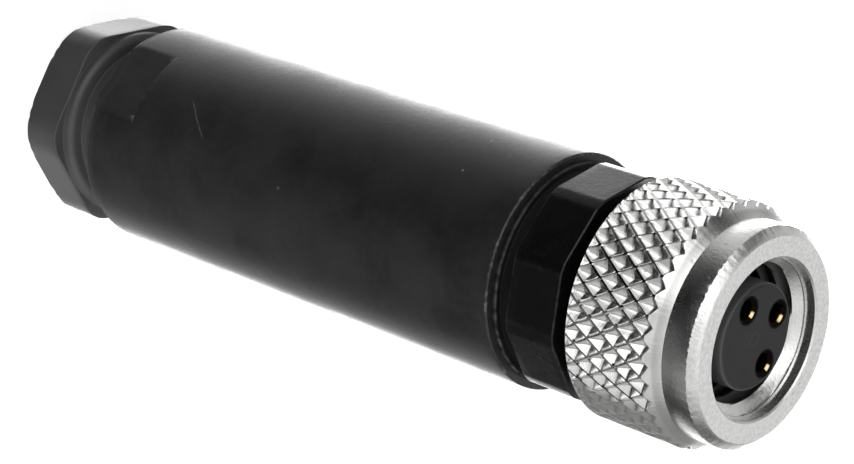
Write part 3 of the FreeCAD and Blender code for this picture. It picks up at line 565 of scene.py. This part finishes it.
def carrier_points(h):
    """The contact carrier: grip collar with turned corners, groove, flange, journal and spigot."""
    sleeve_front, spigot_rear = SLEEVE_HIGH.z, CARRIER_LOW.z
    flange_front = sleeve_front + h.flange_thickness
    grip_rear = flange_front + h.groove_width
    grip_front = grip_rear + h.grip_length
    ring_rear, ring_front, ring_radius = NUT_LOW.z + 0.38, NUT_LOW.z + 1.96, 4.05
    play = 0.05
    spigot, plug = h.cavity_radius - play, h.mouth_radius - play
    plug_rear = sleeve_front - h.mouth_depth + play
    seal_rear, seal_front, seal_radius = sleeve_front - 1.3, sleeve_front - 0.5, plug - 0.7
    nose_rear, nose_front = CARRIER_HIGH.z - 0.8, CARRIER_HIGH.z
    bore, nose_bore = 3.2, 2.8
    outline = rounded_outline([
        (bore, spigot_rear, 0.05), (spigot, spigot_rear, 0.3), (spigot, plug_rear, 0),
        (plug, plug_rear, 0.05), (plug, seal_rear, 0), (seal_radius, seal_rear, 0),
        (seal_radius, seal_front, 0), (plug, seal_front, 0), (plug, sleeve_front, 0),
        (h.flange_radius, sleeve_front, 0.06), (h.flange_radius, flange_front, 0.1),
        (h.groove_radius, flange_front, 0.04), (h.groove_radius, grip_rear, 0.05),
        (h.grip_radius, grip_rear, 0.06), (h.grip_radius, grip_front - h.grip_bevel, 0.03),
        (h.grip_radius - h.grip_bevel, grip_front, 0.03), (h.journal_radius, grip_front, 0.1),
        (h.journal_radius, ring_rear, 0), (ring_radius, ring_rear, 0),
        (ring_radius, ring_front, 0), (h.journal_radius, ring_front, 0),
        (h.journal_radius, nose_front, 0.1), (nose_bore, nose_front, 0.05),
        (nose_bore, nose_rear, 0), (bore, nose_rear, 0),
    ], 0.6)
    radius, height = outline[:, :1], outline[:, 1:]
    angles = around(720)
    polygon = polygon_outline(
        angles, h.grip_apothem, h.grip_radius, h.grip_flats, h.grip_direction, 0.03)
    on_grip = (height > grip_rear - TINY) & (height < grip_front + TINY)
    on_grip &= radius > h.groove_radius
    shaped = follow_polygon(radius, polygon, h.grip_radius, h.groove_radius, 0.08)
    return round_axis(np.where(on_grip, shaped, radius + 0 * angles), height, angles)


# -------- finishes


class Reading:
    """A number at each point of a surface, on which sums can be written as on any other number."""

    def __init__(self, finish, socket):
        self.finish, self.socket = finish, socket

    def __add__(self, other):
        return self.finish.math("ADD", self, other)

    def __sub__(self, other):
        return self.finish.math("SUBTRACT", self, other)

    def __rsub__(self, other):
        return self.finish.math("SUBTRACT", other, self)

    def __mul__(self, other):
        return self.finish.math("MULTIPLY", self, other)

    def __pow__(self, other):
        return self.finish.math("POWER", self, other)

    def __abs__(self):
        return self.finish.math("ABSOLUTE", self)

    __radd__ = __add__
    __rmul__ = __mul__

    def between(self, start, end):
        """0 before start and 1 after end, with a soft passage; start may be the larger."""
        return self.finish.node(
            "ShaderNodeMapRange", {"interpolation_type": "SMOOTHSTEP"},
            {"Value": self, "From Min": start, "From Max": end})


class Shading:
    """A node tree that is filled by writing sums."""

    def __init__(self, owner):
        owner.use_nodes = True
        self.tree = owner.node_tree
        self.tree.nodes.clear()

    def node(self, kind, settings, inputs, output=0):
        """A node with its settings, then its inputs, as a reading of one of its outputs."""
        made = self.tree.nodes.new(kind)
        for key, setting in settings.items():
            setattr(made, key, setting)
        for key, value in inputs.items():
            self.feed(made.inputs[key], value)
        return Reading(self, made.outputs[output]) if made.outputs else None

    def feed(self, socket, value):
        """Links a reading to a socket, or sets the socket to a plain value."""
        if isinstance(value, Reading):
            self.tree.links.new(value.socket, socket)
        else:
            socket.default_value = value

    def math(self, operation, *values):
        return self.node("ShaderNodeMath", {"operation": operation}, dict(enumerate(values)))

    def larger(self, first, second):
        return self.math("MAXIMUM", first, second)


class Finish(Shading):
    """A surface whose colour, roughness and relief vary with the place on it, in millimetres."""

    def __init__(self, name, colour):
        self.material = bpy.data.materials.new(name)
        self.colour = colour
        super().__init__(self.material)
        self.shader = self.tree.nodes.new("ShaderNodeBsdfPrincipled")
        shown = Reading(self, self.shader.outputs[0])
        self.node("ShaderNodeOutputMaterial", {}, {"Surface": shown})
        place = self.node("ShaderNodeTexCoord", {}, {}, "Object")
        self.place = self.node(
            "ShaderNodeVectorMath", {"operation": "SCALE"}, {0: place, "Scale": 1000})
        self.x, self.y, self.z = (
            self.node("ShaderNodeSeparateXYZ", {}, {0: self.place}, axis) for axis in "XYZ")
        self.radius = (self.x * self.x + self.y * self.y) ** 0.5

    def turn(self):
        """Degrees round the axis from the X axis."""
        return self.math("ARCTAN2", self.y, self.x) * (180 / math.pi)

    def from_contact(self):
        """Distances along X and Y from the axis of the contact in the same quarter."""
        return (self.x - CONTACT_STEP * self.math("SIGN", self.x),
                self.y - CONTACT_STEP * self.math("SIGN", self.y))

    def noise(self, size, detail=2.0, place=None):
        """Cloudy unevenness about 0.5, with clouds of that size."""
        return self.node("ShaderNodeTexNoise", {}, {
            "Vector": place or self.place, "Scale": 1 / size, "Detail": detail})

    def stretched(self, x, y, z):
        """The place, scaled along each axis."""
        return self.node("ShaderNodeMapping", {}, {"Vector": self.place, "Scale": (x, y, z)})

    def specks(self, size, share):
        """1 inside sparse dots and 0 elsewhere: a share of the cells of that size holds one."""
        inputs = {"Vector": self.place, "Scale": 1 / size}
        distance = self.node("ShaderNodeTexVoronoi", {}, inputs, "Distance")
        pick = self.node("ShaderNodeTexVoronoi", {}, inputs, "Color")
        draw = self.node("ShaderNodeSeparateColor", {}, {0: pick})
        return draw.between(1 - share, 1 - share + 0.01) * distance.between(0.28, 0.12)

    def mix(self, share, first, second):
        """A colour between two, by share."""
        return self.node("ShaderNodeMix", {"data_type": "RGBA"}, {
            0: share, 6: self.as_colour(first), 7: self.as_colour(second)}, 2)

    def as_colour(self, value):
        """A colour as it is; a number stands for the finish's own colour times that number."""
        if isinstance(value, (int, float)):
            value = [min(1.0, part * value) for part in self.colour]
        return value if isinstance(value, Reading) else (*value, 1.0)

    def edge(self):
        """The wear of a new piece's outward edges."""
        return self.node("ShaderNodeAttribute", {"attribute_name": "edge"}, {}, "Fac")

    def relief(self, height):
        """Bumps whose height is in millimetres."""
        bump = self.node("ShaderNodeBump", {}, {"Height": height, "Distance": 0.001})
        self.feed(self.shader.inputs["Normal"], bump)

    def surface(self, colour, roughness, **constants):
        """The shader's varying colour and roughness, and its values that are the same all over."""
        self.feed(self.shader.inputs["Base Color"], colour)
        self.feed(self.shader.inputs["Roughness"], roughness)
        for title, value in constants.items():
            self.shader.inputs[title.replace("_", " ")].default_value = value
        return self.material


def nickel_finish(colour):
    """Satin nickel: turned band and face, a dull strip on the knurl, painted shade in the knurl's
    pits and down the thread, lighter on one side under a painted patch of light.
    """
    f = Finish("satin_nickel", colour)
    rear, front = NUT_LOW.z, NUT_HIGH.z
    on_knurl = f.z.between(front - 1.65, front - 2.05)
    # Painted shade: pits marks the knurl's pits, which are painted darker and made a little
    # rougher.
    pits = on_knurl * f.radius.between(5.9, 5.78) * f.z.between(rear + 0.1, rear + 0.3)
    # Painted shade: inside marks the bore behind the mouth, which is painted almost black.
    inside = f.radius.between(4.9, 4.8) * f.z.between(front - 1.18, front - 1.24)
    cloud = f.noise(0.9, 4)
    fine = f.noise(0.05, 2)
    rings = f.noise(1, 4, f.node("ShaderNodeCombineXYZ", {}, {"X": f.radius * 18, "Y": f.z * 18}))
    turned = 1 - on_knurl
    dents = f.noise(0.16, 3)
    spots = f.specks(0.5, 0.12)
    face = f.z.between(front - 0.1, front - 0.02)
    shade = f.mix(f.larger(cloud * 0.6, face * 0.75), 1.3, 1.0)
    shade = f.mix(face * f.noise(0.18, 5).between(0.35, 0.65) * 0.5, shade, 1.5)
    shade = f.mix(f.larger(pits * 0.5, spots * 0.3), shade, 0.6)
    # Painted light: lit is a patch on one side of the bore where less of that painted shade is
    # laid.
    lit = (0.95 * f.x - 0.31 * f.y).between(3.1, 3.4) * f.z.between(front - 1.9, front - 1.5)
    shade = f.mix(inside * (0.9 - 0.55 * lit), shade, 0.1)
    grain = 0.08 * cloud + 0.1 * (fine - 0.5)
    turn, (first, last) = f.turn(), STRIP
    dull = on_knurl * turn.between(first, first + 7) * turn.between(last + 2, last - 8)
    shade = f.mix(dull * 0.6, shade, 0.7)
    rough = 0.16 + grain + 0.42 * dull + 0.06 * pits + 0.08 * turned + 0.1 * face + 0.25 * inside
    marks = 0.003 * rings * turned + 0.013 * dents * turned
    f.relief(marks + 0.004 * fine + 0.004 * cloud - 0.006 * spots)
    return f.surface(shade, rough, Metallic=1.0)


def gland_finish(colour):
    """Semi-gloss moulding with a fine grain, faint clouds, dust and edges rubbed lighter."""
    f = Finish("gland_moulding", colour)
    cloud = f.noise(2.2, 5)
    fine = f.noise(0.25, 3)
    worn = f.edge() * f.noise(0.4, 3).between(0.45, 0.8)
    shade = f.mix(cloud, 1.8, 2.9)
    shade = f.mix(worn * 0.3, shade, 4.5)
    shade = f.mix(f.specks(1.3, 0.03) * 0.3, shade, (0.2, 0.2, 0.2))
    f.relief(0.006 * fine + 0.01 * cloud)
    rough = 0.38 + 0.16 * (cloud - 0.5) + 0.1 * (fine - 0.5)
    return f.surface(shade, rough, Specular_IOR_Level=0.36)


def carrier_finish(colour):
    """Smooth black grip collar with sharp light edges; the groove and flange behind it are dull."""
    f = Finish("carrier_moulding", colour)
    cloud = f.noise(1.8, 4)
    fine = f.noise(0.09, 3)
    behind = f.z.between(SLEEVE_HIGH.z + 1.07, SLEEVE_HIGH.z + 0.99)
    worn = f.edge() * f.noise(0.4, 3).between(0.3, 0.7)
    shade = f.mix(cloud, 0.3, 0.75)
    shade = f.mix(worn * 0.6, shade, 14)
    f.relief(0.006 * fine + 0.012 * f.noise(0.3, 3))
    rough = 0.24 + 0.16 * (fine - 0.5) + 0.12 * cloud + 0.3 * behind
    return f.surface(shade, rough, Specular_IOR_Level=0.27)


def sleeve_finish(colour):
    """Matt moulded sleeve: mottled grain, dust, a long scratch and rubbed edges."""
    f = Finish("sleeve_moulding", colour)
    rear = SLEEVE_LOW.z
    grit_x, grit_y, grit_z = -3.74, -4.91, 32.0
    scratch_turn, scratch_height, scratch_climb = -118.3, 12.65, 0.122
    cloud = f.noise(3.2, 6)
    fine = f.noise(0.16, 3)
    grain = f.noise(0.5, 4)
    dust = f.larger(f.specks(0.45, 0.004), f.specks(0.22, 0.003))
    grit = ((f.x - grit_x) ** 2 + (f.y - grit_y) ** 2 + (f.z - grit_z) ** 2) ** 0.5
    dust = f.larger(dust, grit.between(0.09, 0.05))
    rubbed = f.z.between(rear + 1.6, rear + 2.6)
    worn = f.edge() * rubbed * f.noise(0.3, 4).between(0.45, 0.8)
    turn = f.turn()
    middle = scratch_height + (turn - scratch_turn) * scratch_climb
    beside = abs(f.z - middle + 0.25 * (f.noise(1.2, 2) - 0.5))
    scratch = beside.between(0.09, 0.03) * turn.between(-119, -114) * turn.between(-100, -103)
    scratch = scratch * f.noise(0.2, 2)
    shade = f.mix(cloud.between(0.3, 0.7), 0.7, 1.35)
    shade = f.mix(grain.between(0.45, 0.7) * 0.3, shade, 1.9)
    shade = f.mix(worn, shade, 12)
    shade = f.mix(f.larger(dust * 0.7, scratch * 0.55), shade, (0.35, 0.35, 0.35))
    shoulder = f.z.between(rear + 0.8, rear + 0.3)
    rough = 0.42 + 0.2 * (cloud - 0.5) + 0.12 * (fine - 0.5) + 0.35 * shoulder
    f.relief(0.005 * fine + 0.008 * grain)
    return f.surface(shade, rough, Specular_IOR_Level=0.48)


def insert_finish(colour):
    """Moulded insert with a faint round gate mark beside the middle of its face, a painted
    highlight on its rim, a painted reflection on its side and painted shade round its holes.
    """
    f = Finish("insert_moulding", colour)
    front = INSERT_HIGH.z
    cloud = f.noise(1.2, 4)
    fine = f.noise(0.1, 3)
    from_gate = ((f.x - 0.11) ** 2 + (f.y + 0.21) ** 2) ** 0.5
    ring = from_gate.between(0.24, 0.3) * from_gate.between(0.42, 0.36)
    ring = ring * f.z.between(front - 0.89, front - 0.49)
    # Painted highlight: rim is a band round the rounded edge of the face, painted lighter.
    rim = f.radius.between(2.46, 2.56) * f.z.between(front - 0.29, front - 0.19)
    shade = f.mix(cloud, 0.45, 0.7)
    shade = f.mix(rim * 0.6, shade, 2.2)
    shade = f.mix(ring * 0.25, shade, 1.6)
    # Painted reflection: side is a band on the nose's side, just behind the face, painted lighter.
    side = f.radius.between(2.58, 2.62) * f.z.between(front - 1.69, front - 1.19)
    shade = f.mix(side * 0.8, shade, 5)
    # Painted shade: the face round each contact hole, out to about 0.74 mm from its axis, is
    # painted almost black so that the holes look larger.
    across, along = f.from_contact()
    no_pole = f.x.between(0.1, 0.2) * f.y.between(-0.1, -0.2)   # the quarter without a contact
    hole = ((across ** 2 + along ** 2) ** 0.5).between(0.77, 0.71) * (1 - no_pole)
    shade = f.mix(hole, shade, 0.05)
    f.relief(0.01 * fine + 0.006 * ring)
    return f.surface(shade, 0.5 + 0.15 * (fine - 0.5) + 0.4 * hole, Specular_IOR_Level=0.26)


def contact_finish(colour):
    """Plated contact, painted almost black down its hole with painted shade, with a painted glint
    on one side of its bevel.
    """
    f = Finish("contact_plating", colour)
    front = CONTACT_HIGH.z
    cloud = f.noise(0.6, 3)
    across, along = f.from_contact()
    # Painted glint: rubbed here marks a small patch on one side of each contact's bevel, kept
    # bright while the rest is painted almost black.
    rubbed = (0.44 * across + 0.9 * along).between(0.46, 0.5)
    rubbed = rubbed * f.z.between(front - 0.17, front - 0.13)
    rubbed = rubbed * abs(0.9 * across - 0.44 * along).between(0.24, 0.16)
    # Painted shade: each contact is painted almost black from its front down into its hole, except
    # at the painted glint.
    painted_shade = f.z.between(front - 3.21, front - 2.61) * (1 - rubbed)
    shade = f.mix(cloud, 0.8, 1.1)
    shade = f.mix(painted_shade, shade, 0.012)
    f.relief(0.004 * f.noise(0.08, 2, f.stretched(1, 1, 0.1)))
    return f.surface(shade, 0.22 + 0.1 * cloud + 0.4 * painted_shade, Metallic=1.0)


def metal_finish(name, colour, roughness, streak):
    """Plated or drawn metal with fine streaks along the axis and small dull spots."""
    f = Finish(name, colour)
    cloud = f.noise(0.6, 3)
    streaks = f.noise(0.08, 2, f.stretched(1, 1, streak))
    spots = f.specks(0.3, 0.2)
    shade = f.mix(cloud, 0.85, 1.15)
    shade = f.mix(spots * 0.4, shade, 0.5)
    f.relief(0.004 * streaks)
    return f.surface(shade, roughness + 0.1 * cloud + 0.08 * (streaks - 0.5), Metallic=1.0)


def matt_finish(name, colour, roughness, grain):
    """Plain moulded or rubber part with clouds and a fine grain."""
    f = Finish(name, colour)
    cloud = f.noise(1.5, 4)
    fine = f.noise(grain, 3)
    shade = f.mix(cloud, 0.85, 1.15)
    f.relief(0.015 * fine)
    return f.surface(shade, roughness + 0.15 * (fine - 0.5))


# -------- pieces


class CONNECTOR_OT_coupling_nut(bpy.types.Operator):
    """Build the knurled coupling nut with its thread"""

    bl_idname = "connector.coupling_nut"
    bl_label = "Coupling nut"

    def execute(self, context):
        points, diagonal = nut_points(settings_of(context.scene.connector_nut))
        finish = nickel_finish(context.scene.connector_colours.nickel)
        add_piece(
            "knurled_nut", points, finish, "coupling_nut", "coupling_nut", diagonal, 24)
        return {"FINISHED"}


class CONNECTOR_OT_sleeve(bpy.types.Operator):
    """Build the sleeve with its spanner flats"""

    bl_idname = "connector.sleeve"
    bl_label = "Sleeve"

    def execute(self, context):
        points = sleeve_points(settings_of(context.scene.connector_housing))
        finish = sleeve_finish(context.scene.connector_colours.sleeve)
        add_piece("sleeve_moulding", points, finish, "housing", "sleeve")
        return {"FINISHED"}


class CONNECTOR_OT_gland_nut(bpy.types.Operator):
    """Build the gland nut"""

    bl_idname = "connector.gland_nut"
    bl_label = "Gland nut"

    def execute(self, context):
        points = gland_points(settings_of(context.scene.connector_housing))
        finish = gland_finish(context.scene.connector_colours.gland)
        add_piece("gland_moulding", points, finish, "gland_nut", "gland_nut")
        return {"FINISHED"}


class CONNECTOR_OT_contact_carrier(bpy.types.Operator):
    """Build the contact carrier with its grip collar"""

    bl_idname = "connector.contact_carrier"
    bl_label = "Contact carrier"

    def execute(self, context):
        points = carrier_points(settings_of(context.scene.connector_housing))
        finish = carrier_finish(context.scene.connector_colours.grip)
        add_piece(
            "carrier_moulding", points, finish, "contact_head", "contact_carrier")
        return {"FINISHED"}


class CONNECTOR_OT_inner_parts(bpy.types.Operator):
    """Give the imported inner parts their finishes"""

    bl_idname = "connector.inner_parts"
    bl_label = "Inner parts"

    def execute(self, context):
        colours = context.scene.connector_colours
        gold = contact_finish(colours.gold)
        steel = metal_finish("steel_parts", colours.steel, 0.3, 0.15)
        insert = insert_finish(colours.insert)
        seal = matt_finish("seal_rubber", colours.seal, 0.62, 0.2)
        finishes = {
            "socket_insert": insert,
            "terminal_block": insert,
            "clamp_cage": matt_finish("cage_moulding", colours.cage, 0.45, 0.25),
            "slip_ring": matt_finish("slip_ring_moulding", colours.slip, 0.4, 0.2),
            "cable_seal": seal,
            "carrier_seal": seal,
            "front_seal": seal,
            "nut_ring": steel,
        }
        for number in (1, 2, 3):
            finishes[f"contact_{number}"] = gold
            finishes[f"terminal_screw_{number}"] = steel
            finishes[f"wire_guard_{number}"] = steel
        for node, finish in finishes.items():
            part = frame["nodes"][node]
            part.data.materials.clear()
            part.data.materials.append(finish)
        return {"FINISHED"}


# -------- studio


# Lit patches of the room as reflections see them: turn to the right of the -Y side and rise over
# the horizon, both in degrees, and brightness. A patch fades out from its core to its edge.
PATCHES = (
    (0, -75, 0.23), (120, -75, 1.54), (-120, -75, 1.41), (36, -42, 0.13), (72, -42, 0.02),
    (144, -42, 1.3), (-180, -42, 9.65), (-144, -42, 2.16), (-108, -42, 0.43), (-72, -42, 0.08),
    (60, -10, 0.28), (120, -10, 0.12), (150, -10, 0.78), (-180, -10, 0.87), (-150, -10, 0.19),
    (-120, -10, 0.13), (-90, -10, 0.54), (0, 22, 0.9), (36, 22, 0.55), (72, 22, 0.5),
    (108, 22, 0.1), (-180, 22, 0.53), (-144, 22, 0.55), (-108, 22, 0.02), (-72, 22, 0.76),
    (-36, 22, 1.98), (0, 55, 0.45), (51, 55, 0.52), (103, 55, 0.57), (154, 55, 1.08),
    (-154, 55, 0.24), (-103, 55, 0.06), (-51, 55, 1.26), (0, 88, 0.79),
)
PATCH_EDGE, PATCH_CORE = math.cos(math.radians(30)), math.cos(math.radians(10))
TARGET = (0, 0, 0.025)      # the object's middle, which the lamp faces


def plane(name, corners, material):
    """A flat four-cornered stage piece."""
    mesh = bpy.data.meshes.new(name)
    mesh.from_pydata(corners, [], [(0, 1, 2, 3)])
    mesh.materials.append(material)
    piece = new_object(name, mesh)
    return piece


def floor_material():
    """Pale floor that a straight look sees as white background, with the object's shadow left."""
    material = bpy.data.materials.new("pale_floor")
    floor = Shading(material)
    grey, white = (0.45, 0.45, 0.45, 1), (0.86, 0.86, 0.86, 1)
    matt = floor.node("ShaderNodeBsdfDiffuse", {}, {"Color": grey})
    straight = floor.node("ShaderNodeLightPath", {}, {}, "Is Camera Ray")
    glow = floor.node("ShaderNodeEmission", {}, {"Color": white, "Strength": straight})
    both = floor.node("ShaderNodeAddShader", {}, {0: matt, 1: glow})
    floor.node("ShaderNodeOutputMaterial", {}, {"Surface": both})
    return material


def white_room(studio):
    """The room as each kind of look sees it.

    A straight look sees white. A reflection sees the sum of round patches with soft edges, and a
    matt surface gets an even fill.
    """
    world = bpy.data.worlds.new("white_room")
    room = Shading(world)
    direction = room.node("ShaderNodeTexCoord", {}, {}, "Generated")
    seen = 0
    for turn, rise, level in PATCHES:
        turn, rise = math.radians(turn), math.radians(rise)
        middle = (math.cos(rise) * math.sin(turn), -math.cos(rise) * math.cos(turn), math.sin(rise))
        pair = {0: direction, 1: middle}
        toward = room.node("ShaderNodeVectorMath", {"operation": "DOT_PRODUCT"}, pair, "Value")
        seen = seen + toward.between(PATCH_EDGE, PATCH_CORE) * level
    rays = ("Is Camera Ray", "Is Glossy Ray", "Is Transmission Ray")
    straight, glossy, through = (room.node("ShaderNodeLightPath", {}, {}, ray) for ray in rays)
    white = room.larger(straight, through)
    level = studio.fill_level * (1 - glossy) * (1 - white) + glossy * seen + white
    light = room.node("ShaderNodeBackground", {}, {"Color": (1, 1, 1, 1), "Strength": level})
    room.node("ShaderNodeOutputWorld", {}, {"Surface": light})
    bpy.context.scene.world = world


def soft_box(name, place, width, height, level):
    """An area lamp that faces the object; level is the radiance that it shows."""
    lamp = bpy.data.lights.new(name, "AREA")
    lamp.shape = "RECTANGLE"
    lamp.size, lamp.size_y = width, height
    lamp.energy = level * math.pi * width * height
    box = new_object(name, lamp)
    box.location = place
    box.rotation_euler = (Vector(TARGET) - Vector(place)).to_track_quat("-Z", "Y").to_euler()
    box.visible_glossy = False


class CONNECTOR_OT_studio(bpy.types.Operator):
    """Set up the floor, the lamp, the white room and the camera"""

    bl_idname = "connector.studio"
    bl_label = "Studio"

    def execute(self, context):
        studio = context.scene.connector_studio
        half = studio.floor_size / 2
        corners = [(-half, -half, 0), (half, -half, 0), (half, half, 0), (-half, half, 0)]
        floor = plane("floor", corners, floor_material())
        floor.visible_glossy = False
        white_room(studio)
        place, width, height = (0.35, -0.15, 0.15), 0.3, 0.25
        soft_box("side_box", place, width, height, studio.key_level)
        lens = bpy.data.cameras.new("camera")
        lens.lens, lens.sensor_width = studio.lens, 36
        lens.clip_start, lens.clip_end = 0.005, 10
        camera = new_object("camera", lens)
        camera.location = studio.camera_place
        camera.rotation_euler = Euler(studio.camera_turn)
        context.scene.camera = camera
        context.scene.view_settings.view_transform = "Standard"
        return {"FINISHED"}


# -------- add-on


STEPS = (
    CONNECTOR_OT_studio,
    CONNECTOR_OT_coupling_nut,
    CONNECTOR_OT_sleeve,
    CONNECTOR_OT_gland_nut,
    CONNECTOR_OT_contact_carrier,
    CONNECTOR_OT_inner_parts,
)


class CONNECTOR_PT_panel(bpy.types.Panel):
    """Lists the steps that build the connector."""

    bl_idname = "CONNECTOR_PT_panel"
    bl_label = "Connector"
    bl_space_type = "VIEW_3D"
    bl_region_type = "UI"
    bl_category = "Connector"

    def draw(self, context):
        for step in STEPS:
            self.layout.operator(step.bl_idname)


GROUPS = {
    "connector_nut": NutSizes,
    "connector_housing": HousingSizes,
    "connector_colours": FinishColours,
    "connector_studio": StudioSettings,
}


def register():
    for group in GROUPS.values():
        bpy.utils.register_class(group)
    for name, group in GROUPS.items():
        setattr(bpy.types.Scene, name, bpy.props.PointerProperty(type=group))
    for shown in (*STEPS, CONNECTOR_PT_panel):
        bpy.utils.register_class(shown)


def unregister():
    for shown in (CONNECTOR_PT_panel, *reversed(STEPS)):
        bpy.utils.unregister_class(shown)
    for name, group in GROUPS.items():
        delattr(bpy.types.Scene, name)
        bpy.utils.unregister_class(group)


def main():
    """Build everything."""
    register()
    for step in STEPS:
        group, name = step.bl_idname.split(".")
        getattr(getattr(bpy.ops, group), name)()


if __name__ == "__main__":
    main()
